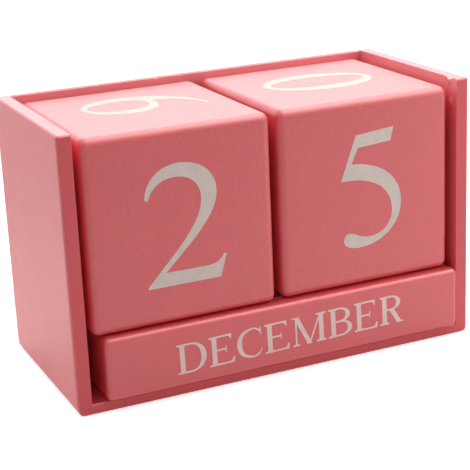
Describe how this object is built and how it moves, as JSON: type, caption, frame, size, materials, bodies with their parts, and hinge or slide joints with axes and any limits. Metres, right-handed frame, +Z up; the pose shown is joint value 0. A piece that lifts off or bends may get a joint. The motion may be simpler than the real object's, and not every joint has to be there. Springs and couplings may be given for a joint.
{
  "type": "perpetual desk calendar",
  "caption": "Perpetual desk calendar: an open wooden tray holding loose digit cubes that lift out over a row of month bars that slide out of its front.",
  "frame": {"origin": "middle of the tray's underside, on the surface that the calendar stands on", "axes": "+Z up, -Y out of the tray's open front, +X to the right as the reader sees it"},
  "size_m": [0.122, 0.0588, 0.077],
  "materials": {
    "tray_paint": "satin coral pink paint on fibreboard",
    "cube_paint": "matte coral pink paint with a fine stipple, on solid wood",
    "bar_paint": "matte coral pink paint with a fine stipple, on solid wood"
  },
  "bodies": {
    "tray": {"left_side_panel": "tray_paint", "right_side_panel": "tray_paint", "floor_panel": "tray_paint", "back_panel": "tray_paint"},
    "left_cube": {"left_digit_cube": "cube_paint"},
    "right_cube": {"right_digit_cube": "cube_paint"},
    "back_bar": {"back_month_bar": "bar_paint"},
    "middle_bar": {"middle_month_bar": "bar_paint"},
    "front_bar": {"front_month_bar": "bar_paint"}
  },
  "joints": [
    {"name": "left_cube_lift", "type": "slide", "parent": "tray", "child": "left_cube", "axis": [0, 0, 1], "range_m": [0, 0.06]},
    {"name": "right_cube_lift", "type": "slide", "parent": "tray", "child": "right_cube", "axis": [0, 0, 1], "range_m": [0, 0.06]},
    {"name": "back_bar_slide", "type": "slide", "parent": "tray", "child": "back_bar", "axis": [0, -1, 0], "range_m": [0, 0.058]},
    {"name": "middle_bar_slide", "type": "slide", "parent": "back_bar", "child": "middle_bar", "axis": [0, -1, 0], "range_m": [0, 0.04]},
    {"name": "front_bar_slide", "type": "slide", "parent": "middle_bar", "child": "front_bar", "axis": [0, -1, 0], "range_m": [0, 0.025]}
  ]
}
